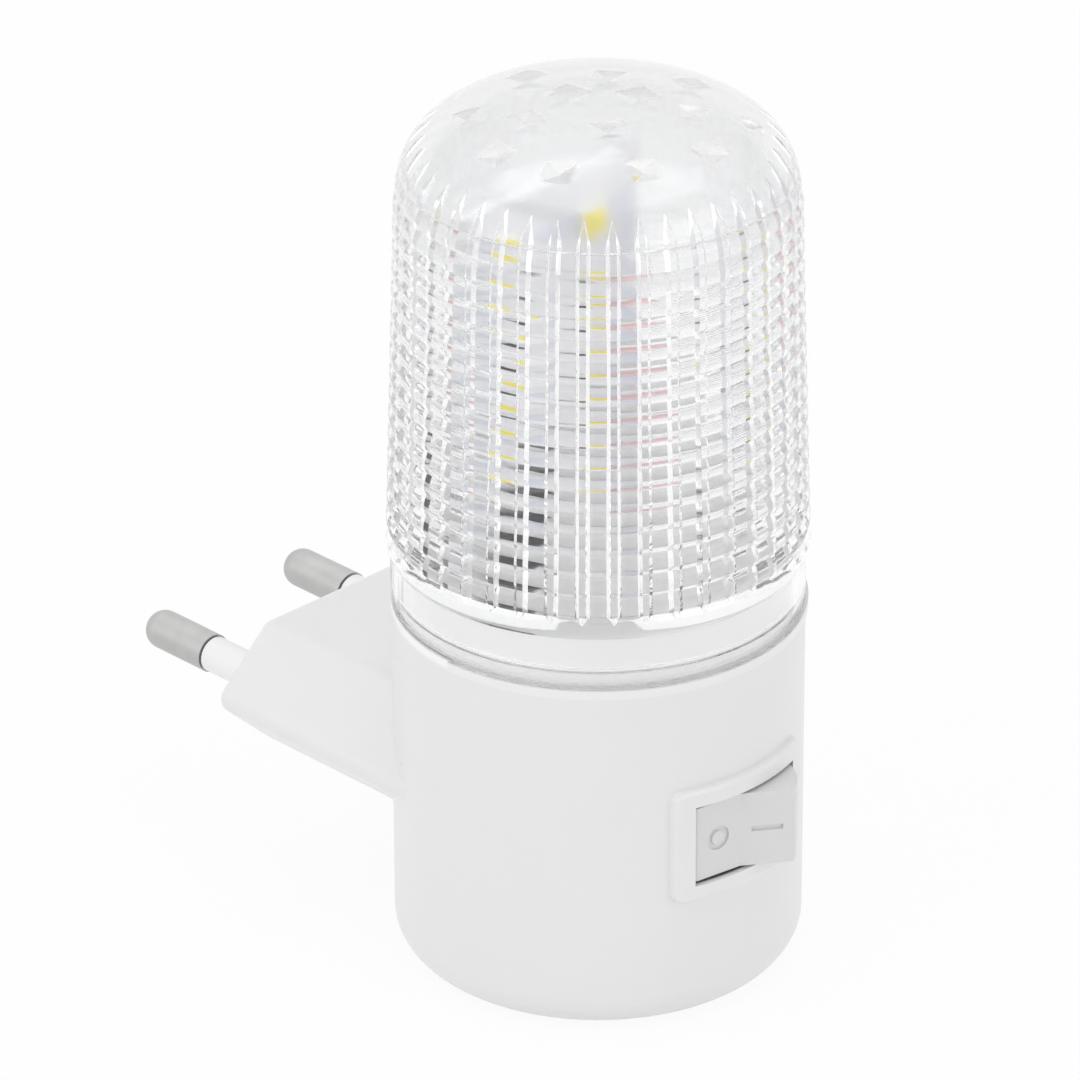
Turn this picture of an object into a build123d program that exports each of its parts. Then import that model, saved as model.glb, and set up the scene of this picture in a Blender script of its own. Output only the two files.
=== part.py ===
"""Plug-in LED night light: white housing with a side plug block, clear ribbed diffuser, rocker switch.

Frame: millimetres, Z up, origin at the middle of the flat base. The pins point along +Y,
the rocker switch faces -Y and the body's axis is Z.
"""
import os
from math import asin, atan2, cos, hypot, pi, radians, sin

from build123d import *

# ---- Housing ----
BODY_R = 20.0            # outer radius of the white body
BODY_H = 36.8            # height of the shoulder that carries the front of the diffuser skirt
KEY_STEP = 0.8           # the rear half of the shoulder stands this much higher
BASE_EDGE_R = 3.8        # rounded edge round the base
FLOOR = 2.4              # thickness of the base
BODY_WALL = 2.8          # wall of the body
NECK_WALL = 1.4          # wall of the neck that the diffuser slides over
NECK_H = 6.2             # neck height above the front shoulder
BEAD = 0.25              # snap bead on the neck
BEAD_Z = 2.6             # height of the bead above the front shoulder

# ---- Plug block ----
BLOCK_END = 35.2         # pin face, from the body's axis
BLOCK_T = 13.2           # thickness of the hexagonal section
BLOCK_MID_Z = 19.4       # middle of the section
BLOCK_HALF_W = 19.0      # half width to the sharp side ridge
BLOCK_FLAT_HALF = 11.8   # half width of the flat top and bottom
BLOCK_EDGE_R = 1.5       # rounding of the long edges
BLOCK_FACE_R = 1.3       # rounding round the pin face
BLOCK_WALL = 2.0
BLOCK_END_WALL = 3.0
BLOCK_ROOT = 5.0         # the block starts inside the body wall

# ---- Pins (4 mm round pins, 19 mm apart, 19 mm long) ----
PIN_R = 2.0
PIN_LEN = 19.0
PIN_PITCH = 19.0
PIN_Z = 17.4
PIN_BARE = 9.0           # bare tip beyond the sleeve
PIN_TIP_R = 1.8          # rounding of the tip
SHANK_R = 1.3
SLEEVE_R = 1.84
SLEEVE_SHY = 0.2         # open ring between sleeve and bare tip
PIN_HEAD_R = 2.4
PIN_HEAD_T = 1.5
PIN_TAIL_R = 1.2
PIN_TAIL_LEN = 4.5
FIT = 0.05               # radial clearance of a close fit

# ---- Pin plate behind the heads ----
PLATE_T = 1.9
SCREW_R = 0.8
SCREW_HEAD_R = 1.7
SCREW_HEAD_T = 1.0
SCREW_BITE = 3.4         # thread length past the plate
PLATE_SCREW_X = 3.4
SLOT_W = 0.5             # screwdriver slot

# ---- Diffuser ----
SKIRT_WALL = 1.3
RIM_STEP = 0.45          # the ribbed wall starts this far outside the skirt
DRAFT = 1.02             # the wall narrows by this much up to the dome
DOME_H = 13.6            # height of the dome above the straight wall
DOME_POWER = 3.35        # squareness of the shoulder
SHELL_WALL = 2.2
LIP = 0.25               # lip round the front half of the skirt
LIP_H = 1.0
SKIRT_GAP = 0.1          # radial play between skirt and neck
SEAT_GAP = 0.2           # above the neck
RING_PITCH = 2.18
RING_COUNT = 18
RING_BULGE = 0.36
RING_CLIMB = 6.84        # the rings go on this far up the dome
GROOVE_COUNT = 40
GROOVE_W = 1.3           # at the inner wall
GROOVE_FLOOR_W = 0.6     # at the groove's floor
GROOVE_DEPTH = 0.5
GROOVE_FOOT = 0.8        # start of the grooves above the rim
GROOVE_TOP = 5.2         # end of the grooves below the dome's top
GROOVE_FOOT_POINT = 0.6  # length of the pointed end at the foot
GROOVE_TOP_POINT = 1.8   # and at the top
FACET_W = 3.4            # sunk pyramids cut in the dome's outside
FACET_DEPTH = 0.45
FACETS = ((5.9, -35), (4.2, 72), (3.6, -173), (7.6, -110), (8.8, 35), (6.5, 126), (12.3, -131),
          (12.9, -92), (13.2, -61), (13.0, -26), (13.1, 7), (10.5, 78), (10.0, 178), (14.3, 39))

# ---- Rocker switch ----
SWITCH_Z = 20.0
PIVOT_SET = 2.5          # pivot behind the body's front
ROCKER_R = 6.7           # radius of the end walls about the pivot
ROCKER_H = 7.9
ROCKER_GAP = 0.35
SWING = 44.0             # from off to on
FACE_HALF_ANGLE = 50.0   # face corners either side of the middle
FACE_DIP = 3.15          # pivot to the lowest line of the dished face
SKIRT_ANGLE = 98.0
ROCKER_WALL = 1.0
ROCKER_EDGE_R = 0.4
STUB_R = 1.0
STUB_LEN = 1.2
BARREL_R = 2.1
BARREL_LEN = 4.2
MARK_DEPTH = 0.25
MARK_STROKE = 0.55
MARK_RING_R = 1.0
MARK_BAR = 3.1
FRAME_HALF_W = 8.5
FRAME_H = 12.0
FRAME_RAISE = 0.9
FRAME_CORNER_R = 1.0
FRAME_EDGE_R = 0.45
BOSS_HALF_W = 10.6
BOSS_H = 14.8
BOSS_SET = 3.9           # back of the boss behind the pivot

# ---- Switch inside ----
PLUNGER_R = 1.2
PLUNGER_NOSE_R = 0.8
PLUNGER_SHOULDER = 4.9   # end of the thick part, from the pivot
PLUNGER_REACH = 6.6      # tip, from the pivot
PLUNGER_TAIL = 2.3       # start of the thick part, from the pivot
BORE_FOOT = -1.1         # blind end of the spring bore, from the pivot
SPRING_WIRE_R = 0.16
SPRING_PITCH = 0.75
SPRING_PLAY = 0.1        # between the coils and the plunger's radius
LEVER_SET = 7.6          # lever pivot behind the rocker's
LEVER_T = 0.6
LEVER_DROP = 0.7         # pivot to the lever's working face
LEVER_RISE = 20.2        # arms rise by this angle
LEVER_SWING = 16.0
LEVER_ARM = 5.2
LEVER_W = 4.0
LEVER_PIN_R = 0.5
CONTACT_R = 0.9
CONTACT_T = 0.4
CONTACT_ARM = 4.3
CONTACT_GAP = 0.15
EAR_T = 0.6
EAR_GAP = 0.15
BASE_T = 1.6
BASE_SET = 2.3           # front of the base's back wall behind the lever pivot
BASE_HALF_W = 7.0
BASE_WALL = 1.5
BASE_EAR_HALF_H = 3.0    # half height of the two screw ears
TAB_LEN = 3.0
TAB_T = 0.6
TAB_W = 2.4

# ---- Circuit board and its components ----
BOARD_HALF_W = 11.6
BOARD_T = 1.2
BOARD_FACE_Y = 6.4       # component side
BOARD_FOOT_Z = 31.0
BOARD_TOP_Z = 79.0
RAIL_HALF_T = 2.0        # rail either side of the board's middle plane
RAIL_GRIP = 1.2
COVER_T = 1.4            # inner cover on the rails
COVER_SUNK = 1.2         # top of the cover below the neck's top
COVER_GAP = 0.05         # round the cover
COVER_HOLE_GAP = 0.3     # round the can and the board in the cover
SLOT_GAP = 0.05
LED_X = 5.9              # either side of the LEDs' middle line
LED_SHIFT = -0.7         # middle line of the LEDs from the board's
LED_Z = (74.6, 57.0)
LED_W = 3.5
LED_H = 2.8
LED_T = 0.8
LED_WINDOW_W = 3.1
LED_WINDOW_H = 2.4
LED_WINDOW_DEPTH = 0.3
LED_WINDOW_R = 0.5       # corners
FILM_W = 4.0
FILM_T = 6.0
FILM_H = 4.2
FILM_X = 9.5
FILM_Z = 54.6
FILM_EDGE_R = 1.0
CHIP_LEN = 3.2
CHIP_W = 1.6
CHIP_T = 0.6
CHIP_EDGE_R = 0.1
CHIP_PLACES = {"left": (-5.6, 63.4), "right": (3.7, 60.3)}
CAN_R = 2.0
CAN_H = 7.0
CAN_X = -6.0
CAN_FOOT_Z = 39.8
CAN_EDGE_R = 0.3
CAN_CAP_R = 1.5
CAN_CAP_T = 0.3
BRIDGE_W = 8.2
BRIDGE_H = 6.4
BRIDGE_T = 3.0
BRIDGE_X = 5.2
BRIDGE_Z = 34.8
BRIDGE_BEVEL = 0.6
RESISTOR_R = 1.15
RESISTOR_LEN = 6.3
RESISTOR_EDGE_R = 0.38
RESISTOR_X = (-3.1, -0.6)
RESISTOR_Z = 35.5
LEAD_R = 0.3
LEAD_PITCH = 7.5
LEAD_BEND = 0.5
WIRE_R = 0.7
WIRE_BEND = 3.0
WIRE_PIN_RUN = 12.0      # straight run of the live wire from its pin
WIRE_TAB_RUN = 6.0       # straight run of the live wire to its tab

# ---- Worked out from the sizes above ----
BORE_R = BODY_R - BODY_WALL
NECK_R = BORE_R + NECK_WALL
NECK_TOP = BODY_H + NECK_H
RIM_Z = NECK_TOP + SEAT_GAP
RINGS_TOP = RIM_Z + RING_COUNT * RING_PITCH
DOME_Z = RINGS_TOP - RING_CLIMB
SKIRT_IN_R = NECK_R + SKIRT_GAP
SKIRT_R = SKIRT_IN_R + SKIRT_WALL
RIM_R = SKIRT_R + RIM_STEP
DOME_R = RIM_R - DRAFT
TOP_Z = DOME_Z + DOME_H
PIVOT_Y = PIVOT_SET - BODY_R
BOSS_BACK_Y = PIVOT_Y + BOSS_SET
LEVER_Y = PIVOT_Y + LEVER_SET
BASE_FRONT_Y = LEVER_Y + BASE_SET
COVER_TOP = NECK_TOP - COVER_SUNK
RAIL_TOP = COVER_TOP - COVER_T
PIN_END = BLOCK_END + PIN_LEN
SLEEVE_END = PIN_END - PIN_BARE - SLEEVE_SHY
WALL_FACE = BLOCK_END - BLOCK_END_WALL
HEAD_BACK = WALL_FACE - PIN_HEAD_T
PLATE_BACK = HEAD_BACK - PLATE_T
BASE_BACK_Y = BASE_FRONT_Y + BASE_T
BOARD_MID_Y = BOARD_FACE_Y + BOARD_T / 2


def box(x0, x1, y0, y1, z0, z1):
    """A box between two corners."""
    return Pos((x0 + x1) / 2, (y0 + y1) / 2, (z0 + z1) / 2) * Box(x1 - x0, y1 - y0, z1 - z0)


def round_bar(radius, z0, z1):
    """A cylinder on the Z axis."""
    return Pos(0, 0, (z0 + z1) / 2) * Cylinder(radius, z1 - z0)


def bar_along_y(radius, y0, y1, x, z):
    """A cylinder parallel to Y."""
    return Pos(x, (y0 + y1) / 2, z) * Rot(90, 0, 0) * Cylinder(radius, y1 - y0)


def shell_radius(z, inset=0.0):
    """Radius of the diffuser's outside, or of a face set in by inset, at one height."""
    if z <= DOME_Z:
        return RIM_R + (DOME_R - RIM_R) * (z - RIM_Z) / (DOME_Z - RIM_Z) - inset
    rise = (z - DOME_Z) / (TOP_Z - DOME_Z - inset)
    return (DOME_R - inset) * (1 - rise ** DOME_POWER) ** (1 / DOME_POWER)


def dome_curve(z_start, inset=0.0, points=9):
    """The dome's meridian from a height up to the axis."""
    height = TOP_Z - DOME_Z - inset
    start = asin(((z_start - DOME_Z) / height) ** (DOME_POWER / 2))
    places = [(shell_radius(z_start, inset), z_start)]
    for i in range(1, points):
        t = start + (pi / 2 - start) * i / points
        places.append(((DOME_R - inset) * cos(t) ** (2 / DOME_POWER),
                       DOME_Z + height * sin(t) ** (2 / DOME_POWER)))
    places.append((0, DOME_Z + height))
    return places


def on_xz(places):
    """Points (radius, height) in the XZ plane."""
    return [(r, 0, z) for r, z in places]


def ring_arcs():
    """The convex rings, from the rim upwards."""
    arcs = []
    for i in range(RING_COUNT):
        low, high = RIM_Z + i * RING_PITCH, RIM_Z + (i + 1) * RING_PITCH
        start, end = shell_radius(low) - RING_BULGE, shell_radius(high) - RING_BULGE
        slope = atan2(start - end, RING_PITCH)
        middle = ((start + end) / 2 + RING_BULGE * cos(slope), 0, (low + high) / 2 + RING_BULGE * sin(slope))
        arcs.append(ThreePointArc((start, 0, low), middle, (end, 0, high)))
    return arcs


def diffuser_shell():
    """Skirt, ringed wall and dome as one turned shell."""
    dome = on_xz(dome_curve(RINGS_TOP))
    inner_dome = on_xz(dome_curve(DOME_Z, SHELL_WALL))[::-1]
    outside = [Line((SKIRT_R, 0, BODY_H), (SKIRT_R, 0, RIM_Z)),
               Line((SKIRT_R, 0, RIM_Z), (shell_radius(RIM_Z) - RING_BULGE, 0, RIM_Z))]
    outside += ring_arcs()
    outside += [Line((shell_radius(RINGS_TOP) - RING_BULGE, 0, RINGS_TOP), dome[0]),
                Spline(*dome, tangents=[Vector(*dome[1]) - Vector(*dome[0]), Vector(-1, 0, 0)])]
    inner_rim = (shell_radius(RIM_Z, SHELL_WALL), 0, RIM_Z)
    inside = [Line(dome[-1], inner_dome[0]),
              Spline(*inner_dome, tangents=[Vector(1, 0, 0), Vector(0, 0, -1)]),
              Line(inner_dome[-1], inner_rim),
              Line(inner_rim, (SKIRT_IN_R, 0, RIM_Z)),
              Line((SKIRT_IN_R, 0, RIM_Z), (SKIRT_IN_R, 0, BODY_H)),
              Line((SKIRT_IN_R, 0, BODY_H), (SKIRT_R, 0, BODY_H))]
    return revolve(make_face(Wire(outside + inside)), Axis.Z)


def core_rib():
    """Rib that leaves one groove: a tapered bar up the inner wall with pointed ends, towards +X."""
    low, high = RIM_Z + GROOVE_FOOT, TOP_Z - GROOVE_TOP
    start, end = low - GROOVE_DEPTH, high + GROOVE_DEPTH
    heights = [start, (start + DOME_Z) / 2, DOME_Z, (2 * DOME_Z + end) / 3, (DOME_Z + 2 * end) / 3, end]
    path = Spline(*on_xz([(shell_radius(z, SHELL_WALL), z) for z in heights]))
    floor_half, wall_half = GROOVE_FLOOR_W / 2, GROOVE_W / 2
    corners = [(GROOVE_DEPTH, floor_half), (-GROOVE_DEPTH, 2 * wall_half - floor_half),
               (-GROOVE_DEPTH, floor_half - 2 * wall_half), (GROOVE_DEPTH, -floor_half)]
    across = Plane(origin=path @ 0, x_dir=(1, 0, 0), z_dir=path % 0)
    section = across * make_face(Polyline(*corners, close=True))
    foot, top = low + 2 * GROOVE_FOOT_POINT, high - 2 * GROOVE_TOP_POINT
    outline = [(0, low), (GROOVE_W, foot), (GROOVE_W, top), (0, high), (-GROOVE_W, top), (-GROOVE_W, foot)]
    facing = Plane(origin=(BORE_R / 2, 0, 0), x_dir=(0, 1, 0), z_dir=(1, 0, 0))
    reach = extrude(facing * make_face(Polyline(*outline, close=True)), amount=BODY_R)
    return sweep(section, path=path) & reach


def facet(radius, angle):
    """Pyramid that sinks one square facet into the dome, widening outwards from its point."""
    height = TOP_Z - DOME_Z
    share = (radius / DOME_R) ** DOME_POWER
    rise = (1 - share) ** (1 / DOME_POWER)
    lean = atan2(share / radius, rise ** (DOME_POWER - 1) / height)
    surface = Rot(0, 0, angle) * Pos(0, -radius, DOME_Z + height * rise) * Rot(lean * 180 / pi, 0, 0)
    corner = FACET_W
    side = make_face(Polyline((0, -FACET_DEPTH), (corner, FACET_DEPTH), (-corner, FACET_DEPTH), close=True))
    across = extrude(Plane.XZ * side, amount=corner, both=True)
    along = extrude(Plane.YZ * side, amount=corner, both=True)
    return surface * (across & along)


def diffuser():
    """Clear diffuser: rings outside, grooves inside, sunk facets in the dome, skirt over the neck."""
    shell = diffuser_shell()
    lip = round_bar(SKIRT_R + LIP, BODY_H, BODY_H + LIP_H) - round_bar(SKIRT_IN_R, BODY_H, BODY_H + LIP_H)
    reach = 2 * BODY_R
    shell += lip & box(-reach, reach, -reach, 0, BODY_H, BODY_H + LIP_H)
    shell -= box(-reach, reach, 0, reach, BODY_H, BODY_H + KEY_STEP)
    shell -= round_bar(NECK_R + BEAD + SKIRT_GAP, BODY_H + BEAD_Z - BEAD, BODY_H + BEAD_Z + BEAD)
    rib = core_rib()
    step = 360 / GROOVE_COUNT
    shell -= [Rot(0, 0, (i + 0.5) * step) * rib for i in range(GROOVE_COUNT)]
    return shell - [facet(radius, angle) for radius, angle in FACETS]


def hexagon(inset=0.0):
    """Section of the plug block, set in by a wall."""
    half_t = BLOCK_T / 2
    corners = [(-BLOCK_HALF_W, 0), (-BLOCK_FLAT_HALF, half_t), (BLOCK_FLAT_HALF, half_t),
               (BLOCK_HALF_W, 0), (BLOCK_FLAT_HALF, -half_t), (-BLOCK_FLAT_HALF, -half_t)]
    section = make_face(Polyline(*corners, close=True))
    return offset(section, -inset, kind=Kind.INTERSECTION) if inset else section


def block_prism(y0, y1, inset=0.0):
    """The block's section between two planes."""
    plane = Plane(origin=(0, y0, BLOCK_MID_Z), x_dir=(1, 0, 0), z_dir=(0, -1, 0))
    return extrude(plane * hexagon(inset), amount=-(y1 - y0))


def plug_block():
    """Outside of the plug block with its edges rounded."""
    block = block_prism(BLOCK_ROOT, BLOCK_END)
    block = fillet(block.edges().filter_by(Axis.Y), BLOCK_EDGE_R)
    return fillet(block.faces().sort_by(Axis.Y)[-1].edges(), BLOCK_FACE_R)


def switch_frame():
    """Raised rounded frame that follows the body round the rocker."""
    low, high = SWITCH_Z - FRAME_H / 2, SWITCH_Z + FRAME_H / 2
    block = box(-FRAME_HALF_W, FRAME_HALF_W, -BODY_R - 2 * FRAME_RAISE, -BORE_R + FRAME_RAISE, low, high)
    block = fillet(block.edges().filter_by(Axis.Y), FRAME_CORNER_R)
    frame = block & round_bar(BODY_R + FRAME_RAISE, low, high)
    front = frame.faces().sort_by(lambda face: face.center().Y)[0]
    return fillet(front.edges(), FRAME_EDGE_R)


def switch_boss():
    """Thick pad inside the wall that the rocker's stubs and the switch base sit in."""
    half_h = BOSS_H / 2
    block = box(-BOSS_HALF_W, BOSS_HALF_W, -BODY_R, BOSS_BACK_Y, SWITCH_Z - half_h, SWITCH_Z + half_h)
    return block & round_bar((BODY_R + BORE_R) / 2, SWITCH_Z - half_h, SWITCH_Z + half_h)


def rocker_pocket():
    """Opening for the rocker with its two stub holes."""
    gap = ROCKER_GAP
    pocket = Cylinder(ROCKER_R + gap, ROCKER_H + 2 * gap)
    pocket += Cylinder(STUB_R + FIT, ROCKER_H + 2 * (STUB_LEN + gap))
    return Pos(0, PIVOT_Y, SWITCH_Z) * pocket


def board_rails():
    """Two slotted rails inside the wall that hold the board."""
    inner = BOARD_HALF_W - RAIL_GRIP
    top = RAIL_TOP
    low, high = BOARD_MID_Y - RAIL_HALF_T, BOARD_MID_Y + RAIL_HALF_T
    rails = box(-BORE_R, -inner, low, high, BOARD_FOOT_Z - BOARD_T, top)
    rails += box(inner, BORE_R, low, high, BOARD_FOOT_Z - BOARD_T, top)
    rails -= box(-BOARD_HALF_W - SLOT_GAP, BOARD_HALF_W + SLOT_GAP, BOARD_FACE_Y - SLOT_GAP,
                 BOARD_FACE_Y + BOARD_T + SLOT_GAP, BOARD_FOOT_Z, top)
    return rails & round_bar((BORE_R + NECK_R) / 2, BOARD_FOOT_Z - BOARD_T, top)


def plate_screw_places():
    """Screw axes in the pin plate as (x, z)."""
    return [(-PLATE_SCREW_X, PIN_Z), (PLATE_SCREW_X, PIN_Z)]


def base_screw_x():
    """Screw axes in the switch base, clear of its side walls."""
    return BASE_HALF_W + SCREW_HEAD_R + FIT


def housing():
    """White moulding: cup, neck, hollow plug block, switch frame, boss and board rails."""
    body = fillet(round_bar(BODY_R, 0, BODY_H).edges().sort_by(Axis.Z)[0], BASE_EDGE_R)
    body += round_bar(BODY_R, BODY_H, BODY_H + KEY_STEP) & box(-BODY_R, BODY_R, 0, BODY_R, BODY_H, NECK_TOP)
    body += round_bar(NECK_R, BODY_H, NECK_TOP)
    body += Pos(0, 0, BODY_H + BEAD_Z) * Torus(NECK_R, BEAD)
    body += plug_block() + switch_frame()
    body -= round_bar(BORE_R, FLOOR, NECK_TOP)
    body -= block_prism(0, WALL_FACE, BLOCK_WALL)
    body += switch_boss() + board_rails()
    for x, z in plate_screw_places():
        body += bar_along_y(SCREW_HEAD_R, HEAD_BACK, WALL_FACE, x, z)
        body -= bar_along_y(SCREW_R, HEAD_BACK, HEAD_BACK + SCREW_BITE, x, z)
    for side in (-1, 1):
        body -= bar_along_y(SLEEVE_R + FIT, WALL_FACE, BLOCK_END, side * PIN_PITCH / 2, PIN_Z)
        body -= bar_along_y(SCREW_R, BOSS_BACK_Y - SCREW_BITE, BOSS_BACK_Y, side * base_screw_x(), SWITCH_Z)
    return body - rocker_pocket()


def pin(side):
    """One plated pin: rounded bare tip, thin shank, head and solder tail."""
    x = side * PIN_PITCH / 2
    bare = bar_along_y(PIN_R, PIN_END - PIN_BARE, PIN_END, x, PIN_Z)
    bare = fillet(bare.edges().sort_by(Axis.Y)[-1], PIN_TIP_R)
    shank = bar_along_y(SHANK_R, WALL_FACE, PIN_END - PIN_BARE, x, PIN_Z)
    head = bar_along_y(PIN_HEAD_R, HEAD_BACK, WALL_FACE, x, PIN_Z)
    tail = bar_along_y(PIN_TAIL_R, HEAD_BACK - PIN_TAIL_LEN, HEAD_BACK, x, PIN_Z)
    return bare + shank + head + tail


def sleeve(side):
    """Insulating sleeve over one shank."""
    x = side * PIN_PITCH / 2
    tube = bar_along_y(SLEEVE_R, WALL_FACE, SLEEVE_END, x, PIN_Z)
    return tube - bar_along_y(SHANK_R, WALL_FACE, SLEEVE_END, x, PIN_Z)


def pin_plate():
    """Plate that holds both pin heads against the end wall."""
    plate = block_prism(PLATE_BACK, HEAD_BACK, BLOCK_WALL + FIT)
    for side in (-1, 1):
        plate -= bar_along_y(PIN_TAIL_R + FIT, PLATE_BACK, HEAD_BACK, side * PIN_PITCH / 2, PIN_Z)
    for x, z in plate_screw_places():
        plate -= bar_along_y(SCREW_R, PLATE_BACK, HEAD_BACK, x, z)
    return plate


def screw(x, z, head_y, reach, toward):
    """Slotted screw along Y; toward is the side its thread points to."""
    tip = head_y + toward * reach
    head_end = head_y - toward * SCREW_HEAD_T
    body = bar_along_y(SCREW_R, min(head_y, tip), max(head_y, tip), x, z)
    body += bar_along_y(SCREW_HEAD_R, min(head_y, head_end), max(head_y, head_end), x, z)
    slot_floor = head_end + toward * SCREW_HEAD_T / 2
    near, far = sorted((head_end, slot_floor))
    return body - box(x - SCREW_HEAD_R, x + SCREW_HEAD_R, near, far, z - SLOT_W / 2, z + SLOT_W / 2)


def plate_screws():
    """Two screws through the pin plate."""
    return [screw(x, z, PLATE_BACK, PLATE_T + SCREW_BITE, 1) for x, z in plate_screw_places()]


def in_rocker(shape):
    """Place a piece drawn about the pivot, plunger along +Y, in the off position."""
    return Pos(0, PIVOT_Y, SWITCH_Z) * Rot(0, 0, -SWING / 2) * shape


def at_angle(radius, angle):
    """Point at an angle from -Y towards +X."""
    return (radius * sin(radians(angle)), -radius * cos(radians(angle)))


def rocker_outline():
    """Side view of the rocker about its pivot."""
    left, right = at_angle(ROCKER_R, -FACE_HALF_ANGLE), at_angle(ROCKER_R, FACE_HALF_ANGLE)
    right_low, left_low = at_angle(ROCKER_R, SKIRT_ANGLE), at_angle(ROCKER_R, -SKIRT_ANGLE)
    dip = (0, -FACE_DIP)
    middle = (FACE_HALF_ANGLE + SKIRT_ANGLE) / 2
    edges = [Line(left, dip), Line(dip, right), ThreePointArc(right, at_angle(ROCKER_R, middle), right_low),
             Line(right_low, left_low), ThreePointArc(left_low, at_angle(ROCKER_R, -middle), left)]
    return make_face(Wire(edges))


def face_frame(side):
    """Plane on one half of the dished face, Z out of the face, X along it."""
    corner_x, corner_y = at_angle(ROCKER_R, FACE_HALF_ANGLE)
    run, rise = corner_x, -corner_y - FACE_DIP
    length = hypot(run, rise)
    centre = (side * run / 2, -FACE_DIP - rise / 2, 0)
    return Plane(origin=centre, x_dir=(run / length, -side * rise / length, 0),
                 z_dir=(-side * rise / length, -run / length, 0))


def rocker_marks():
    """Sunk O and bar on the two halves of the face."""
    ring = Circle(MARK_RING_R + MARK_STROKE / 2) - Circle(MARK_RING_R - MARK_STROKE / 2)
    marks = extrude(face_frame(-1) * ring, amount=MARK_DEPTH, both=True)
    return marks + extrude(face_frame(1) * Rectangle(MARK_BAR, MARK_STROKE), amount=MARK_DEPTH, both=True)


def rocker():
    """Rocker: dished face, end walls about the pivot, two stubs and the spring barrel."""
    half_h = ROCKER_H / 2
    body = extrude(rocker_outline(), amount=half_h, both=True)
    corners = [edge for edge in body.edges().filter_by(Axis.Z) if edge.center().Y < -FACE_DIP]
    body = fillet(corners, ROCKER_EDGE_R)
    hollow = Cylinder(ROCKER_R - ROCKER_WALL, ROCKER_H - 2 * ROCKER_WALL)
    hollow &= box(-ROCKER_R, ROCKER_R, ROCKER_WALL - FACE_DIP, ROCKER_R, -half_h, half_h)
    body -= hollow
    barrel = bar_along_y(BARREL_R, BORE_FOOT - ROCKER_WALL, BARREL_LEN, 0, 0)
    body += barrel + Cylinder(STUB_R, ROCKER_H + 2 * STUB_LEN)
    body -= bar_along_y(PLUNGER_R + FIT, BORE_FOOT, BARREL_LEN, 0, 0)
    return in_rocker(body - rocker_marks())


def plunger():
    """Stepped pin with a round nose that slides in the rocker's barrel."""
    body = bar_along_y(PLUNGER_R, PLUNGER_TAIL, PLUNGER_SHOULDER, 0, 0)
    nose_centre = PLUNGER_REACH - PLUNGER_NOSE_R
    body += bar_along_y(PLUNGER_NOSE_R, PLUNGER_SHOULDER, nose_centre, 0, 0)
    return in_rocker(body + Pos(0, nose_centre, 0) * Sphere(PLUNGER_NOSE_R))


def plunger_spring():
    """Compression spring between the barrel's blind end and the plunger."""
    coil_r = PLUNGER_R - SPRING_PLAY - SPRING_WIRE_R
    length = PLUNGER_TAIL - BORE_FOOT - 2 * SPRING_WIRE_R
    path = Helix(pitch=SPRING_PITCH, height=length, radius=coil_r)
    section = Plane(origin=path @ 0, z_dir=path % 0) * Circle(SPRING_WIRE_R)
    coil = sweep(section, path=path, is_frenet=True)
    return in_rocker(Pos(0, BORE_FOOT + SPRING_WIRE_R, 0) * Rot(-90, 0, 0) * coil)


def lever_arm(side, rivet):
    """One arm of the lever about its pivot, with or without a contact rivet."""
    arm = box(-LEVER_T / 2, LEVER_ARM, -LEVER_DROP, LEVER_T - LEVER_DROP, -LEVER_W / 2, LEVER_W / 2)
    if rivet:
        top = LEVER_T - LEVER_DROP
        arm += bar_along_y(CONTACT_R, top, top + CONTACT_T, CONTACT_ARM, 0)
    arm = Pos(0, -LEVER_DROP * (1 / cos(radians(LEVER_RISE)) - 1), 0) * Rot(0, 0, -LEVER_RISE) * arm
    return arm if side > 0 else mirror(arm, about=Plane.YZ)


def lever():
    """See-saw contact lever on its pin, tilted to the off position."""
    body = lever_arm(1, False) + lever_arm(-1, True)
    body += Cylinder(LEVER_PIN_R, LEVER_W + 2 * (EAR_T + EAR_GAP))
    return Pos(0, LEVER_Y, SWITCH_Z) * Rot(0, 0, LEVER_SWING / 2) * body


def arm_underside(distance, depth):
    """Place under a lowered arm, relative to the lever's pivot, as (x, y)."""
    rise, tilt = radians(LEVER_RISE), radians(LEVER_SWING / 2)
    x = distance * cos(rise) + (depth - LEVER_DROP) * sin(rise)
    y = -distance * sin(rise) + (depth - LEVER_DROP) * cos(rise) - LEVER_DROP * (1 / cos(rise) - 1)
    return x * cos(tilt) - y * sin(tilt), x * sin(tilt) + y * cos(tilt)


def terminal_tab(x, z):
    """Solder tab through the base's back wall."""
    return box(x - TAB_T / 2, x + TAB_T / 2, BASE_FRONT_Y, BASE_BACK_Y + TAB_LEN,
               z - TAB_W / 2, z + TAB_W / 2)


def terminal_common():
    """Fork that carries the lever's pin, with its solder tab."""
    inner = LEVER_W / 2 + EAR_GAP
    half_w = LEVER_PIN_R + 2 * EAR_T
    body = box(-half_w, half_w, BASE_FRONT_Y - EAR_T, BASE_FRONT_Y,
               SWITCH_Z - inner - EAR_T, SWITCH_Z + inner + EAR_T)
    for side in (-1, 1):
        low = min(side * inner, side * (inner + EAR_T)) + SWITCH_Z
        body += box(-half_w, half_w, LEVER_Y, BASE_FRONT_Y, low, low + EAR_T)
        body += Pos(0, LEVER_Y, low + EAR_T / 2) * Cylinder(half_w, EAR_T)
    body -= Pos(0, LEVER_Y, SWITCH_Z) * Cylinder(LEVER_PIN_R + FIT, LEVER_W + 4 * (EAR_T + EAR_GAP))
    return body + terminal_tab(0, SWITCH_Z)


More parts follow.
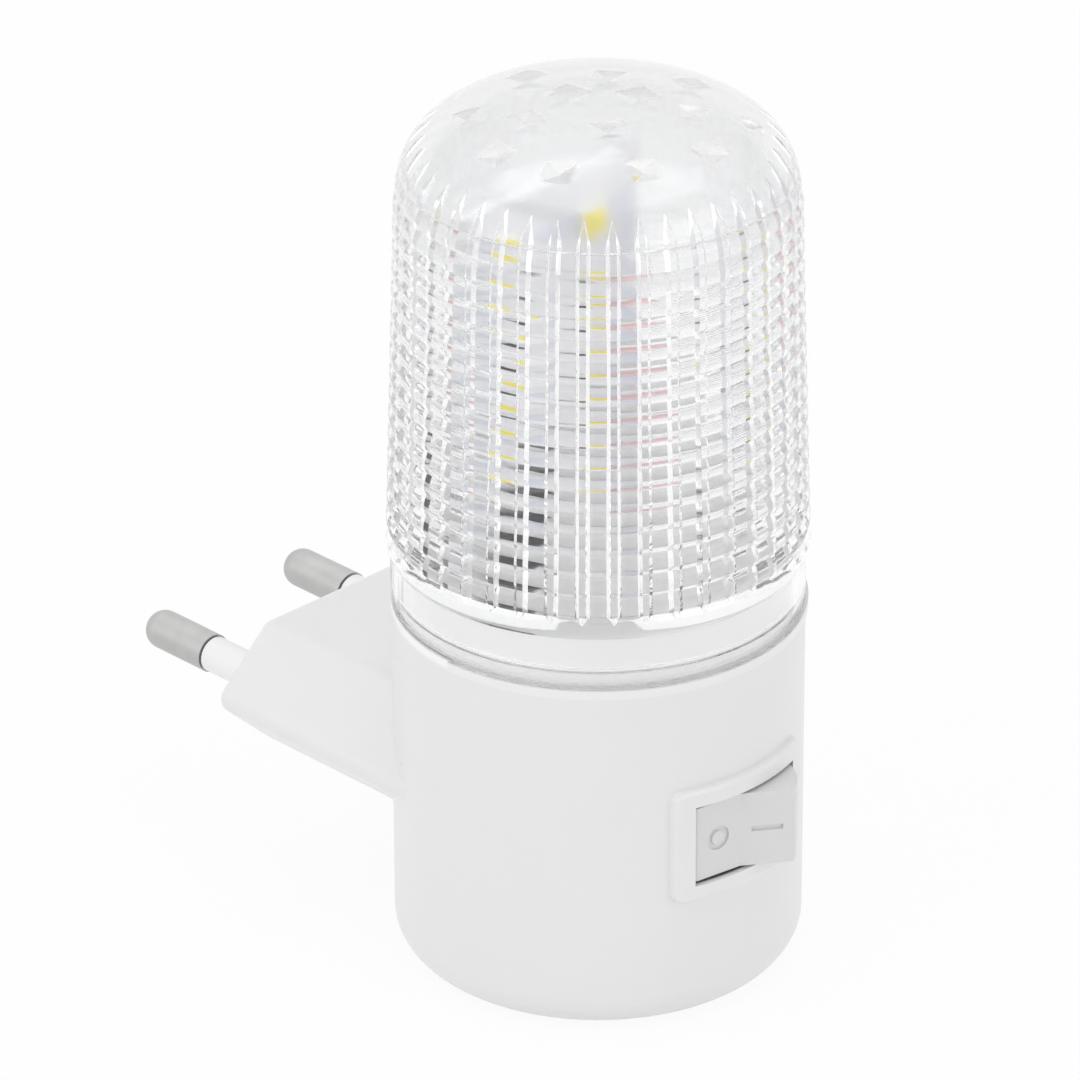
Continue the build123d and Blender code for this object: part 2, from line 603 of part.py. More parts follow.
def terminal_switched():
    """Fixed contact under the lever's rivet, with its solder tab."""
    reach, top = arm_underside(CONTACT_ARM - CONTACT_R, LEVER_T + CONTACT_T)
    centre, _ = arm_underside(CONTACT_ARM, LEVER_T + CONTACT_T)
    top_y = LEVER_Y + top + CONTACT_GAP
    body = box(-centre - CONTACT_R, -centre + CONTACT_R, top_y + CONTACT_T, BASE_FRONT_Y,
               SWITCH_Z - TAB_W / 2, SWITCH_Z + TAB_W / 2)
    body += bar_along_y(CONTACT_R, top_y, top_y + CONTACT_T, -centre, SWITCH_Z)
    return body + terminal_tab(-centre, SWITCH_Z)


def switch_base():
    """Insulating bridge behind the rocker that carries both terminals and stops the lever."""
    half_h = BOSS_H / 2
    flange_half = base_screw_x() + SCREW_HEAD_R
    back = box(-BASE_HALF_W, BASE_HALF_W, BASE_FRONT_Y, BASE_BACK_Y, SWITCH_Z - half_h, SWITCH_Z + half_h)
    low, high = SWITCH_Z - half_h, SWITCH_Z + half_h
    walls = box(-BASE_HALF_W, BASE_HALF_W, BOSS_BACK_Y, BASE_FRONT_Y, low, low + BASE_WALL)
    walls += box(-BASE_HALF_W, BASE_HALF_W, BOSS_BACK_Y, BASE_FRONT_Y, high - BASE_WALL, high)
    for side in (-1, 1):
        near, far = sorted((side * (BASE_HALF_W - BASE_WALL), side * BASE_HALF_W))
        walls += box(near, far, BOSS_BACK_Y, BASE_FRONT_Y, low, high)
        near, far = sorted((side * BASE_HALF_W, side * flange_half))
        walls += box(near, far, BOSS_BACK_Y, BOSS_BACK_Y + BASE_WALL,
                     SWITCH_Z - BASE_EAR_HALF_H, SWITCH_Z + BASE_EAR_HALF_H)
        walls -= bar_along_y(SCREW_R, BOSS_BACK_Y, BOSS_BACK_Y + BASE_WALL, side * base_screw_x(), SWITCH_Z)
    stop_x, stop_y = arm_underside(LEVER_ARM - CONTACT_R, LEVER_T)
    stop = box(stop_x - CONTACT_R, stop_x + CONTACT_R / 2, LEVER_Y + stop_y + 2 * CONTACT_GAP, BASE_FRONT_Y,
               SWITCH_Z - TAB_W / 2, SWITCH_Z + TAB_W / 2)
    body = back + walls + stop
    contact_x, _ = arm_underside(CONTACT_ARM, LEVER_T + CONTACT_T)
    for x in (0, -contact_x):
        body -= terminal_tab(x, SWITCH_Z)
    return body


def base_screws():
    """Two screws through the switch base into the housing's boss."""
    head_y = BOSS_BACK_Y + BASE_WALL
    return [screw(side * base_screw_x(), SWITCH_Z, head_y, BASE_WALL + SCREW_BITE, -1) for side in (-1, 1)]


def inner_cover():
    """White disc on the rails that closes the neck round the board and the can."""
    gap = COVER_HOLE_GAP
    cover = round_bar(BORE_R - COVER_GAP, RAIL_TOP, COVER_TOP)
    cover -= box(-BOARD_HALF_W - gap, BOARD_HALF_W + gap, BOARD_FACE_Y - gap, BOARD_FACE_Y + BOARD_T + gap,
                 RAIL_TOP, COVER_TOP)
    return cover - Pos(CAN_X, BOARD_FACE_Y - CAN_R, 0) * round_bar(CAN_R + gap, RAIL_TOP, COVER_TOP)


def circuit_board():
    """Upright board in the rails."""
    return box(-BOARD_HALF_W, BOARD_HALF_W, BOARD_FACE_Y, BOARD_FACE_Y + BOARD_T, BOARD_FOOT_Z, BOARD_TOP_Z)


def led_window(side, z):
    """Phosphor window of one LED, with rounded corners."""
    x, front = side * LED_X + LED_SHIFT, BOARD_FACE_Y - LED_T
    window = box(x - LED_WINDOW_W / 2, x + LED_WINDOW_W / 2, front, front + LED_WINDOW_DEPTH,
                 z - LED_WINDOW_H / 2, z + LED_WINDOW_H / 2)
    return fillet(window.edges().filter_by(Axis.Y), LED_WINDOW_R)


def led(side, z):
    """White package of one LED."""
    x = side * LED_X + LED_SHIFT
    body = box(x - LED_W / 2, x + LED_W / 2, BOARD_FACE_Y - LED_T, BOARD_FACE_Y,
               z - LED_H / 2, z + LED_H / 2)
    return body - led_window(side, z)


def chip_resistor(x, z):
    """Chip resistor lying across the board's face."""
    body = box(x - CHIP_LEN / 2, x + CHIP_LEN / 2, BOARD_FACE_Y - CHIP_T, BOARD_FACE_Y,
               z - CHIP_W / 2, z + CHIP_W / 2)
    return fillet(body.edges(), CHIP_EDGE_R)


def film_capacitor():
    """Dipped film capacitor on the board's face."""
    body = box(FILM_X - FILM_W / 2, FILM_X + FILM_W / 2, BOARD_FACE_Y - FILM_T, BOARD_FACE_Y,
               FILM_Z - FILM_H / 2, FILM_Z + FILM_H / 2)
    return fillet(body.edges(), FILM_EDGE_R)


def smoothing_capacitor():
    """Sleeve-covered can beside it."""
    can = Pos(CAN_X, BOARD_FACE_Y - CAN_R, CAN_FOOT_Z + CAN_H / 2) * Cylinder(CAN_R, CAN_H)
    can = fillet(can.edges(), CAN_EDGE_R)
    return can - can_cap()


def can_cap():
    """Bare aluminium disc in the can's top."""
    top = CAN_FOOT_Z + CAN_H
    return Pos(CAN_X, BOARD_FACE_Y - CAN_R, top - CAN_CAP_T / 2) * Cylinder(CAN_CAP_R, CAN_CAP_T)


def bridge_rectifier():
    """Moulded bridge rectifier at the board's foot."""
    body = box(BRIDGE_X - BRIDGE_W / 2, BRIDGE_X + BRIDGE_W / 2, BOARD_FACE_Y - BRIDGE_T, BOARD_FACE_Y,
               BRIDGE_Z - BRIDGE_H / 2, BRIDGE_Z + BRIDGE_H / 2)
    return chamfer(body.faces().sort_by(Axis.Y)[0].edges(), BRIDGE_BEVEL)


def bent_wire(points, radius, bend):
    """Round wire along straight runs joined by arcs."""
    path = FilletPolyline(*points, radius=bend)
    return sweep(Plane(origin=path @ 0, z_dir=path % 0) * Circle(radius), path=path)


def resistor(x):
    """Axial resistor upright on the board, on a lead bent to the board at both ends."""
    y = BOARD_FACE_Y - RESISTOR_R
    low, high = RESISTOR_Z - LEAD_PITCH / 2, RESISTOR_Z + LEAD_PITCH / 2
    body = Pos(x, y, RESISTOR_Z) * Cylinder(RESISTOR_R, RESISTOR_LEN)
    body = fillet(body.edges(), RESISTOR_EDGE_R)
    lead = [(x, BOARD_FACE_Y, low), (x, y, low), (x, y, high), (x, BOARD_FACE_Y, high)]
    return body + bent_wire(lead, LEAD_R, LEAD_BEND)


def wires():
    """Pin to switch, switch to board and pin to board."""
    tab_end = BASE_BACK_Y + TAB_LEN
    tail_end = HEAD_BACK - PIN_TAIL_LEN
    pin_x = PIN_PITCH / 2
    contact_x, _ = arm_underside(CONTACT_ARM, LEVER_T + CONTACT_T)
    foot = BOARD_FOOT_Z
    live = [(-pin_x, tail_end, PIN_Z), (-pin_x, tail_end - WIRE_PIN_RUN, PIN_Z),
            (0, tab_end + WIRE_TAB_RUN, SWITCH_Z), (0, tab_end, SWITCH_Z)]
    switched = [(-contact_x, tab_end, SWITCH_Z), (-contact_x, BOARD_MID_Y, SWITCH_Z),
                (-contact_x, BOARD_MID_Y, foot)]
    neutral = [(pin_x, tail_end, PIN_Z), (pin_x, BOARD_MID_Y, PIN_Z), (pin_x, BOARD_MID_Y, foot)]
    runs = {"wire_live": live, "wire_switched": switched, "wire_neutral": neutral}
    return {name: bent_wire(points, WIRE_R, WIRE_BEND) for name, points in runs.items()}


def parts():
    """Every node by name."""
    nodes = {"housing": housing(), "diffuser": diffuser(), "pin_plate": pin_plate(),
             "plate_screws": plate_screws(), "rocker": rocker(), "plunger": plunger(),
             "plunger_spring": plunger_spring(), "contact_lever": lever(),
             "terminal_common": terminal_common(), "terminal_switched": terminal_switched(),
             "switch_base": switch_base(), "base_screws": base_screws(), "circuit_board": circuit_board(),
             "film_capacitor": film_capacitor(), "smoothing_capacitor": smoothing_capacitor(),
             "can_cap": can_cap(), "bridge_rectifier": bridge_rectifier(), "inner_cover": inner_cover()}
    for name, side in (("left", -1), ("right", 1)):
        nodes["pin_" + name] = pin(side)
        nodes["sleeve_" + name] = sleeve(side)
        for row, z in zip(("upper", "lower"), LED_Z):
            nodes[f"led_{row}_{name}"] = led(side, z)
            nodes[f"led_window_{row}_{name}"] = led_window(side, z)
    for name, x in zip(("left", "right"), RESISTOR_X):
        nodes["resistor_" + name] = resistor(x)
    for name, (x, z) in CHIP_PLACES.items():
        nodes["chip_resistor_" + name] = chip_resistor(x, z)
    nodes.update(wires())
    return nodes


os.makedirs("parts", exist_ok=True)
for node, shape in parts().items():
    export_step(Compound(children=shape) if isinstance(shape, list) else shape, f"parts/{node}.step")
    print(node)
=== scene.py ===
"""Plug-in LED night light: finishes, lamps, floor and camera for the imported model, in metres, Z up."""
from math import radians

import bpy
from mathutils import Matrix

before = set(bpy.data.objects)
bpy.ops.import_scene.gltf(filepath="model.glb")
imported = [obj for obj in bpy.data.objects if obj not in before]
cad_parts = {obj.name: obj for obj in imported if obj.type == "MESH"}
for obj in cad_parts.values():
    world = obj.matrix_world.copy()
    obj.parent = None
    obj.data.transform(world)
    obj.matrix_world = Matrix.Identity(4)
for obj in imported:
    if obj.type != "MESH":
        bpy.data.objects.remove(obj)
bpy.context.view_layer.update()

# ---- Camera ----
# A long lens about 0.74 m from the lamp looks down on its switch side and its left side. The lens is
# shifted, not turned, to put the lamp right of the middle and leave room for the plug.
camera_place = (-0.46377, -0.46377, 0.38353)
camera_tilt, camera_turn = radians(62.7), radians(-45)
bpy.ops.object.camera_add(location=camera_place, rotation=(camera_tilt, 0, camera_turn))
camera = bpy.context.object
camera.name = "product_camera"
camera.data.sensor_width = 36
camera.data.lens = 256.5
camera.data.shift_x = -0.0539
camera.data.shift_y = -0.0146
light_bounces = 40  # enough to cross every rib and ring of the diffuser
scene = bpy.context.scene
scene.camera = camera
scene.view_settings.view_transform = "Standard"
scene.cycles.max_bounces = light_bounces
scene.cycles.transmission_bounces = light_bounces
scene.cycles.glossy_bounces = light_bounces

# ---- Studio ----
# A white paper sweep in a light tent: one soft lamp overhead, one at the left and one in front, an even
# room round them, and a floor that keeps the lamp's own shadow.


class Signal:
    """One socket in a material's nodes; sums on it add Math nodes to the same material."""

    def __init__(self, tree, socket):
        self.tree = tree
        self.socket = socket

    def node(self, kind, out=0, inputs=None, stops=None, **settings):
        """Add a node, set it up, feed it values or signals, and hand back one of its outputs."""
        made = self.tree.nodes.new("ShaderNode" + kind)
        for name, value in settings.items():
            setattr(made, name, value)
        if stops:
            ramp = made.color_ramp
            while len(ramp.elements) < len(stops):
                ramp.elements.new(1)
            for element, (place, colour) in zip(ramp.elements, stops):
                element.position = place
                element.color = (*colour, 1)
        for name, value in (inputs or {}).items():
            if isinstance(value, Signal):
                self.tree.links.new(value.socket, made.inputs[name])
            else:
                made.inputs[name].default_value = value
        return Signal(self.tree, made.outputs[out])

    def math(self, operation, *values):
        return self.node("Math", inputs=dict(enumerate(values)), operation=operation)

    def __add__(self, other):
        return self.math("ADD", self, other)

    def __radd__(self, other):
        return self.math("ADD", other, self)

    def __sub__(self, other):
        return self.math("SUBTRACT", self, other)

    def __rsub__(self, other):
        return self.math("SUBTRACT", other, self)

    def __mul__(self, other):
        return self.math("MULTIPLY", self, other)

    def __rmul__(self, other):
        return self.math("MULTIPLY", other, self)

    def __abs__(self):
        return self.math("ABSOLUTE", self)

    def place(self):
        """The place on the object, in metres."""
        return self.node("TexCoord", out="Object")

    def axis(self, letter):
        """One of this place's three distances."""
        return self.node("SeparateXYZ", out=letter, inputs={"Vector": self})

    def noise(self, scale, detail, **more):
        """Noise from 0 to 1 over this place, at a scale of features to the metre."""
        return self.node("TexNoise", inputs={"Vector": self, "Scale": scale, "Detail": detail, **more})

    def mask(self, empty, full, **settings):
        """0 where this signal is at empty or beyond, 1 where it is at full or beyond."""
        return self.node("MapRange", inputs={0: self, 1: empty, 2: full, 3: 0, 4: 1}, **settings)

    def blend(self, low, high):
        """A colour that goes from low to high as this signal goes from 0 to 1."""
        low, high = (end if isinstance(end, Signal) else (*end, 1) for end in (low, high))
        return self.node("Mix", out=2, data_type="RGBA", inputs={0: self, 6: low, 7: high})

    def relief(self, distance, strength):
        """Normals bent by this signal as a height."""
        return self.node("Bump", inputs={"Height": self, "Distance": distance, "Strength": strength})

    def feed(self, shader, socket):
        """Link this signal to a socket of the shader."""
        self.tree.links.new(self.socket, shader.inputs[socket])


def new_finish(name, **even):
    """A Principled material with its even values set, its shader, and what the shader gives out."""
    finish = bpy.data.materials.new(name)
    finish.use_nodes = True
    shader = finish.node_tree.nodes["Principled BSDF"]
    for socket, value in even.items():
        shader.inputs[socket.replace("_", " ")].default_value = value
    return finish, shader, Signal(finish.node_tree, shader.outputs[0])


def background_seen(start):
    """1 on rays that show the background: from the camera, off a gloss or through a clear wall."""
    seen = start.node("LightPath", out="Is Camera Ray")
    for kind in ("Is Glossy Ray", "Is Transmission Ray"):
        seen = seen.math("MAXIMUM", seen, start.node("LightPath", out=kind))
    return seen


sweep_width = 6
bpy.ops.mesh.primitive_plane_add(size=sweep_width, location=(0, 0, 0))
floor = bpy.context.object
floor.name = "sweep_floor"
floor_finish, _, paper = new_finish("sweep_paper", Base_Color=(0.92, 0.92, 0.92, 1), Roughness=0.9)
glow_share = 0.92
glow = paper.node("Emission", inputs={"Color": (1, 1, 1, 1), "Strength": 1.0})
sheet = paper.node("MixShader", inputs={0: background_seen(paper) * glow_share, 1: paper, 2: glow})
sheet.feed(paper.tree.nodes["Material Output"], "Surface")
floor.data.materials.append(floor_finish)

room = bpy.data.worlds.new("light_tent")
scene.world = room
room.use_nodes = True
world_end = room.node_tree.nodes["World Output"]
air = Signal(room.node_tree, room.node_tree.nodes["Background"].outputs[0])
tent = air.node("Background", inputs={"Color": (1, 1, 1, 1), "Strength": 0.6})
white = air.node("Background", inputs={"Color": (1, 1, 1, 1), "Strength": 1.0})
air.node("MixShader", inputs={0: background_seen(air), 1: tent, 2: white}).feed(world_end, "Surface")


def soft_lamp(name, place, turn, width, power):
    """A square soft box pointed by its turn about X and Z, in degrees."""
    bpy.ops.object.light_add(type="AREA", location=place, rotation=(radians(turn[0]), 0, radians(turn[1])))
    lamp = bpy.context.object
    lamp.name = name
    lamp.data.size = width
    lamp.data.energy = power


soft_lamp("overhead_box", (0.1, 0.1, 0.9), (0, 0), 0.9, 2.5)
soft_lamp("left_box", (-0.75, 0.15, 0.45), (65, -100), 0.7, 1.7)
soft_lamp("front_box", (0.1, -0.85, 0.4), (68, 5), 0.7, 1.5)

# ---- Housing ----
# The cup, neck, hollow plug block and switch frame are one moulding of glossy white ABS. Its polish is
# even, with a faint flow mottle and the very low waves that a thick wall shrinks into. The neck is painted
# whiter, painted light against the skirt's shade, and the switch pocket behind the rocker's shut line is
# painted dark, painted shade.


def dress(finish, *nodes):
    """Put a finish on CAD nodes."""
    for node in nodes:
        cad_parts[node].material_slots[0].material = finish


def shrunk_plastic(name, colour, polish, grain, **even):
    """Moulded plastic: flow mottle in the colour, uneven polish, fine grain over low shrink waves."""
    finish, shader, surface = new_finish(name, **even)
    place = surface.place()
    flow = place.noise(90, 3, Roughness=0.6)
    fine = place.noise(2600, 2)
    waves = place.noise(60, 1)
    dim = tuple(0.97 * part for part in colour)
    flow.blend(dim, colour).feed(shader, "Base Color")
    (flow * 0.08 + fine * 0.05 + (polish - 0.065)).feed(shader, "Roughness")
    (fine * grain + waves * 0.00012).relief(1.0, 0.5).feed(shader, "Normal")
    return finish


housing_plastic = shrunk_plastic("housing_plastic", (0.85, 0.85, 0.85), 0.3, 0.000004)
moulding = housing_plastic.node_tree.nodes["Principled BSDF"]
tone = Signal(housing_plastic.node_tree, moulding.inputs["Base Color"].links[0].from_socket)
place = tone.place()
across, along, high = (place.axis(letter) for letter in "XYZ")

neck_foot = 0.0366
neck_painted_light = (0.97, 0.97, 0.97)
# Painted light: the neck above its foot is whitened to offset the shade it gets under the clear skirt.
tone = high.mask(neck_foot, neck_foot + 0.0004).blend(tone, neck_painted_light)

pocket_mouth = 0.0202  # radius of the cup's front inside which the pocket's walls are painted dark, as painted shade
pocket_middle = (0, -0.0165, 0.02)
pocket_half = (0.0072, 0.006, 0.0044)
pocket_painted_shade = (0.16, 0.16, 0.16)
# Painted shade: the pocket's walls deep behind the rocker are darkened to stand for the shadow in the shut
# line's gap.
square = across * across + along * along
pocket_shade_mask = square.math("SQRT", square).mask(pocket_mouth + 0.0003, pocket_mouth)
for distance, middle, half in zip((across, along, high), pocket_middle, pocket_half):
    pocket_shade_mask = pocket_shade_mask * abs(distance - middle).mask(half, half - 0.0001)
pocket_shade_mask.blend(tone, pocket_painted_shade).feed(moulding, "Base Color")
dress(housing_plastic, "housing")

# ---- Pins and sleeves ----
# Two 4 mm turned brass pins, nickel plated and tumbled to a satin, with white insulating sleeves
# pushed over their thin shanks up to the bare tips.
pin_nickel, nickel, surface = new_finish("pin_nickel", Metallic=1.0)
place = surface.place()
turned = place.node("Mapping", inputs={"Vector": place, "Scale": (120, 9000, 120)})
lathe = turned.noise(1.0, 2)
cloud = place.noise(500, 3)
cloud.blend((0.46, 0.46, 0.455), (0.57, 0.57, 0.565)).feed(nickel, "Base Color")
(lathe * 0.12 + cloud * 0.1 + 0.3).feed(nickel, "Roughness")
lathe.relief(0.00001, 0.5).feed(nickel, "Normal")
dress(pin_nickel, "pin_left", "pin_right")

sleeve_white = shrunk_plastic("sleeve_white", (0.92, 0.92, 0.92), 0.5, 0.00001)
dress(sleeve_white, "sleeve_left", "sleeve_right")

# ---- Pin plate and its screws ----
# A natural nylon plate screwed in behind the pin heads, and the switch's base of the same nylon. Both
# are held by zinc-plated screws with rolled threads.
nylon = shrunk_plastic("natural_nylon", (0.8, 0.78, 0.72), 0.5, 0.00002, Subsurface_Weight=0.2,
                       Subsurface_Scale=0.001)
dress(nylon, "pin_plate", "switch_base")

zinc_plate, zinc, surface = new_finish("zinc_plate", Metallic=1.0)
place = surface.place()
threads_per_metre = 520
thread = place.node("TexWave", inputs={"Vector": place, "Scale": threads_per_metre, "Distortion": 0.0},
                    bands_direction="Y", wave_profile="TRI")
patch = place.noise(700, 3)
patch.blend((0.55, 0.56, 0.58), (0.72, 0.73, 0.76)).feed(zinc, "Base Color")
(patch * 0.2 + 0.25).feed(zinc, "Roughness")
thread.relief(0.0001, 0.6).feed(zinc, "Normal")
dress(zinc_plate, "plate_screws", "base_screws")

# ---- Switch ----
# The rocker is moulded in a slightly greyer ABS than the housing. Behind it a brass plunger on a steel
# spring tips a phosphor-bronze lever between two bronze terminals.
rocker_plastic = shrunk_plastic("rocker_plastic", (0.74, 0.74, 0.74), 0.36, 0.000004)
dress(rocker_plastic, "rocker")


def rolled_metal(name, dark, light, roughness, scale, run):
    """Bare metal with drawn streaks: colour patches, streaked polish and a fine relief."""
    finish, shader, surface = new_finish(name, Metallic=1.0)
    place = surface.place()
    streaks = place.node("Mapping", inputs={"Vector": place, "Scale": run}).noise(scale, 3)
    patches = place.noise(400, 3)
    patches.blend(dark, light).feed(shader, "Base Color")
    (streaks * 0.2 + patches * 0.1 + (roughness - 0.15)).feed(shader, "Roughness")
    streaks.relief(0.00001, 0.4).feed(shader, "Normal")
    return finish


bronze_strip = rolled_metal("bronze_strip", (0.62, 0.34, 0.19), (0.78, 0.5, 0.32), 0.3, 900, (1, 1, 8))
dress(bronze_strip, "contact_lever", "terminal_common", "terminal_switched")
turned_brass = rolled_metal("turned_brass", (0.68, 0.5, 0.2), (0.83, 0.66, 0.34), 0.25, 900, (1, 9, 1))
dress(turned_brass, "plunger")
spring_wire = rolled_metal("spring_wire", (0.4, 0.4, 0.41), (0.6, 0.6, 0.62), 0.3, 1500, (1, 1, 1))
dress(spring_wire, "plunger_spring")

# ---- Circuit board ----
# 1.2 mm laminate under white solder mask. The copper shows through the mask as faintly raised, cooler
# tracks between the components.
board_mask, mask_look, surface = new_finish("board_mask")
place = surface.place()
across, up = place.axis("X"), place.axis("Z")


def strip(low_x, high_x, low_z, high_z):
    """One rectangle of copper on the board, in millimetres, as a mask with a soft edge."""
    soft_edge = 0.0001
    sides = []
    for distance, low, high in ((across, low_x, high_x), (up, low_z, high_z)):
        middle, half = (low + high) / 2000, (high - low) / 2000
        sides.append(abs(distance - middle).mask(half + soft_edge, half, interpolation_type="SMOOTHSTEP"))
    return sides[0] * sides[1]


copper = strip(-5.2, -3.6, 31, 36)
for run in ((8.6, 10.4, 31, 53), (-10.8, -9.4, 44, 76), (-9.4, -8, 74, 76), (-5.2, 3.8, 74, 75.4),
            (6.7, 10.8, 74, 76), (9.6, 10.8, 57.6, 74), (6.7, 10.8, 56.2, 57.6), (-8, -6.8, 63.4, 73.4),
            (-5.2, -4.1, 58.2, 63.4), (4.8, 5.8, 58.2, 60.6), (-2, 2.6, 59.8, 60.8), (-2, -0.6, 38, 59.8)):
    copper = copper.math("MAXIMUM", copper, strip(*run))
copper_rise, weave_rise = 0.00004, 0.000004
weave = place.noise(1600, 2)
copper.blend((0.86, 0.86, 0.88), (0.74, 0.75, 0.83)).feed(mask_look, "Base Color")
(weave * 0.15 + 0.25).feed(mask_look, "Roughness")
(copper * copper_rise + weave * weave_rise).relief(1.0, 0.8).feed(mask_look, "Normal")
dress(board_mask, "circuit_board")

# ---- LEDs ----
# Four surface-mounted LEDs, two near the board's top and two lower down. Each is a white reflector
# package with a window of yellow phosphor in resin.
led_package = shrunk_plastic("led_package", (0.9, 0.9, 0.88), 0.4, 0.000004)
led_phosphor, phosphor, surface = new_finish("led_phosphor", Coat_Weight=0.6, Coat_Roughness=0.05)
place = surface.place()
grain = place.noise(5000, 2)
grain.blend((0.93, 0.76, 0.02), (0.98, 0.88, 0.07)).feed(phosphor, "Base Color")
(grain * 0.2 + 0.3).feed(phosphor, "Roughness")
grain.relief(0.00001, 0.4).feed(phosphor, "Normal")
for spot in ("upper_left", "upper_right", "lower_left", "lower_right"):
    dress(led_package, "led_" + spot)
    dress(led_phosphor, "led_window_" + spot)

# ---- Chip resistors ----
# Two ceramic chips under black glaze, with tinned end caps soldered to the board. Both lie along X, as
# far left and right of one line, so one finish finds the ends of either.
chip_glaze, glaze, surface = new_finish("chip_glaze")
place = surface.place()
chips_middle = -0.00095  # X of the line that the chips lie either side of
chip_reach = 0.00465  # from that line to the middle of a chip
glaze_half = 0.0011
from_chip = abs(place.axis("X") - chips_middle) - chip_reach
tinned = abs(from_chip).mask(glaze_half, glaze_half + 0.0001)
grain = place.noise(4000, 2)
tinned.blend((0.015, 0.015, 0.018), (0.7, 0.7, 0.71)).feed(glaze, "Base Color")
tinned.feed(glaze, "Metallic")
(grain * 0.2 + 0.2).feed(glaze, "Roughness")
grain.relief(0.00001, 0.5).feed(glaze, "Normal")
dress(chip_glaze, "chip_resistor_left", "chip_resistor_right")

# ---- Film capacitor ----
# A film capacitor on the board's right side, dipped in pale red epoxy. The epoxy is glossy, and a little
# thick and uneven as the dip runs down.
film_epoxy, epoxy, surface = new_finish("film_epoxy", Coat_Weight=0.5, Coat_Roughness=0.08)
place = surface.place()
sag = place.noise(260, 2)
speck = place.noise(2400, 2)
sag.blend((0.76, 0.5, 0.52), (0.86, 0.64, 0.66)).feed(epoxy, "Base Color")
(speck * 0.15 + 0.2).feed(epoxy, "Roughness")
(sag * 0.0002 + speck * 0.00001).relief(1.0, 0.5).feed(epoxy, "Normal")
dress(film_epoxy, "film_capacitor")

# ---- Smoothing capacitor ----
# An electrolytic can in black shrink sleeve with one grey stripe. The sleeve folds over the rim and
# leaves the bare aluminium top.
can_sleeve, sleeve_look, surface = new_finish("can_sleeve", Coat_Weight=0.3, Coat_Roughness=0.15)
place = surface.place()
stripe_middle = -0.0047  # X of the stripe, on the can's right front
stripe_half = 0.0004
stripe = abs(place.axis("X") - stripe_middle).mask(stripe_half + 0.0001, stripe_half)
shrink = place.noise(700, 2)
stripe.blend((0.012, 0.012, 0.016), (0.4, 0.41, 0.43)).feed(sleeve_look, "Base Color")
(shrink * 0.2 + 0.2).feed(sleeve_look, "Roughness")
shrink.relief(0.00003, 0.4).feed(sleeve_look, "Normal")
dress(can_sleeve, "smoothing_capacitor")
can_metal = rolled_metal("can_metal", (0.66, 0.66, 0.67), (0.8, 0.8, 0.81), 0.35, 900, (1, 1, 1))
dress(can_metal, "can_cap")

# ---- Inner cover ----
# A glossy moulded ABS disc. It lies on the board rails and closes the neck under the
# diffuser. Its light grey is painted shade, standing for the dim inside of the deep white cup.
# Painted shade: the grey stands for the shadowed white interior seen through the diffuser's rings.
cover_painted_shade = shrunk_plastic("cover_painted_shade", (0.62, 0.62, 0.62), 0.35, 0.000006)
dress(cover_painted_shade, "inner_cover")

# ---- Bridge rectifier ----
# A four-lead bridge in black moulding compound with a fine matt grain, soldered low on the board, under
# the cover.
moulding_black = shrunk_plastic("moulding_black", (0.03, 0.03, 0.032), 0.55, 0.00002)
dress(moulding_black, "bridge_rectifier")

# ---- Resistors ----
# Quarter-watt resistors in beige lacquer with brown, black, orange and gold bands, on tinned leads.
# They stand upright, so the bands follow the height from the middle of the body, in millimetres.
resistor_lacquer, lacquer, surface = new_finish("resistor_lacquer")
place = surface.place()
body_middle = 35.5
body_half = 3.15
share_per_mm = 0.1587
beige, brown, black = (0.72, 0.58, 0.38), (0.16, 0.06, 0.02), (0.02, 0.02, 0.02)
orange, gold, tinned_wire = (0.8, 0.22, 0.02), (0.6, 0.44, 0.1), (0.72, 0.72, 0.73)
from_body = place.axis("Z") * 1000 - body_middle
bands = place.node("ValToRGB", inputs={0: from_body * share_per_mm + 0.5},
                   stops=[(0.0, beige), (0.16, brown), (0.26, beige), (0.33, black), (0.43, beige),
                          (0.5, orange), (0.6, beige), (0.78, gold), (0.88, beige)])
bands.socket.node.color_ramp.interpolation = "CONSTANT"
lacquered = abs(from_body).mask(body_half + 0.02, body_half)
gloss = place.noise(1500, 2)
lacquered.blend(tinned_wire, bands).feed(lacquer, "Base Color")
(1 - lacquered).feed(lacquer, "Metallic")
(gloss * 0.2 + 0.25).feed(lacquer, "Roughness")
gloss.relief(0.00002, 0.4).feed(lacquer, "Normal")
dress(resistor_lacquer, "resistor_left", "resistor_right")

# ---- Wires ----
# Stranded copper in soft PVC, brown for the live and switched runs and blue for neutral. They join the
# pins, the switch and the board inside the housing.


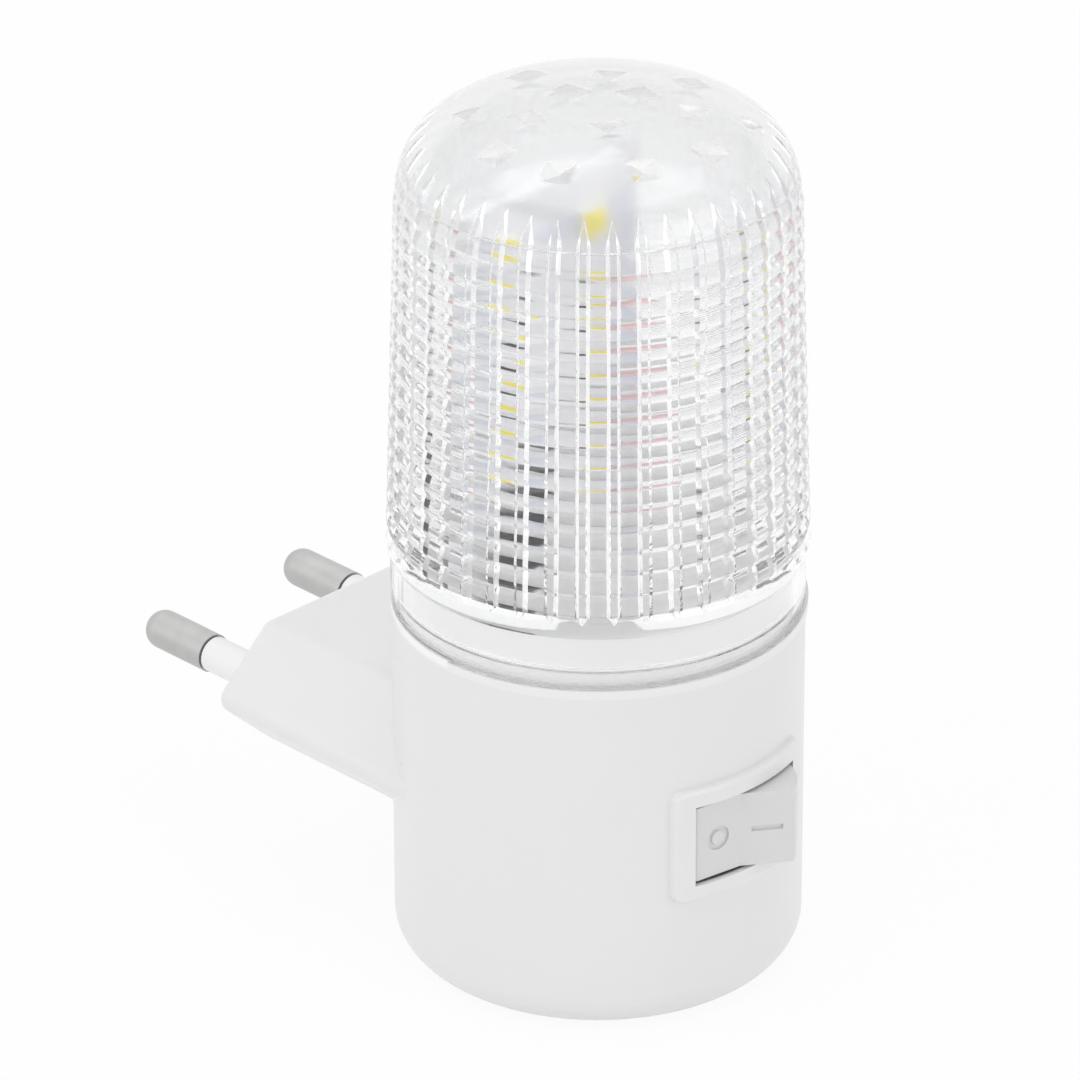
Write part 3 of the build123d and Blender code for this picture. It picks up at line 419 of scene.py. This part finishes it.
def wire_skin(name, colour):
    """PVC insulation with the faint bumps that the strands press into it."""
    finish, shader, surface = new_finish(name)
    place = surface.place()
    wear = place.noise(900, 3)
    dark = tuple(0.8 * part for part in colour)
    wear.blend(dark, colour).feed(shader, "Base Color")
    (wear * 0.2 + 0.35).feed(shader, "Roughness")
    wear.relief(0.00003, 0.5).feed(shader, "Normal")
    return finish


dress(wire_skin("brown_wire", (0.22, 0.1, 0.045)), "wire_live", "wire_switched")
dress(wire_skin("blue_wire", (0.04, 0.13, 0.42)), "wire_neutral")

# ---- Diffuser ----
# One clear polystyrene moulding with rings outside, upright grooves inside and sunk facets scattered over
# the dome. The wall is polished; the mould leaves the dome lightly frosted, and the lip that rests on the
# housing's shoulder is matt and white.
clear_styrene, styrene, surface = new_finish("clear_styrene", Transmission_Weight=1.0, IOR=1.55)
place = surface.place()
high = place.axis("Z")
# Painted shade: the clear wall's colour greys with height and is darkest in the dome, dimming all seen
# through it; the skirt stays clear so the neck under it is not dimmed.
tint_foot, tint_reach = 0.04, 0.05
skirt_tint, wall_shade_tint, dome_shade_tint = (1, 1, 1), (0.965, 0.968, 0.972), (0.935, 0.938, 0.942)
shade_tints = place.node("ValToRGB", inputs={0: (high - tint_foot) * (1 / tint_reach)},
                   stops=[(0.05, skirt_tint), (0.07, wall_shade_tint), (0.72, wall_shade_tint), (0.82, dome_shade_tint)])
shade_tints.feed(styrene, "Base Color")

frost_foot, frost_full = 0.076, 0.08
frost = high.mask(frost_foot, frost_full, interpolation_type="SMOOTHSTEP") * 0.1
haze = place.noise(300, 2)
(haze * 0.04 + frost + 0.015).feed(styrene, "Roughness")
place.noise(140, 2).relief(0.0001, 0.3).feed(styrene, "Normal")

lip_top = 0.0376
lip = 1 - high.mask(lip_top, lip_top + 0.0004)
lip_white = place.node("BsdfPrincipled", inputs={"Base Color": (0.88, 0.88, 0.88, 1), "Roughness": 0.35})
wall = place.node("MixShader", inputs={0: lip, 1: surface, 2: lip_white})
nothing = place.node("BsdfTransparent", inputs={"Color": (1, 1, 1, 1)})
shade = place.node("LightPath", out="Is Shadow Ray")
shell = place.node("MixShader", inputs={0: shade, 1: wall, 2: nothing})
shell.feed(place.tree.nodes["Material Output"], "Surface")
dress(clear_styrene, "diffuser")
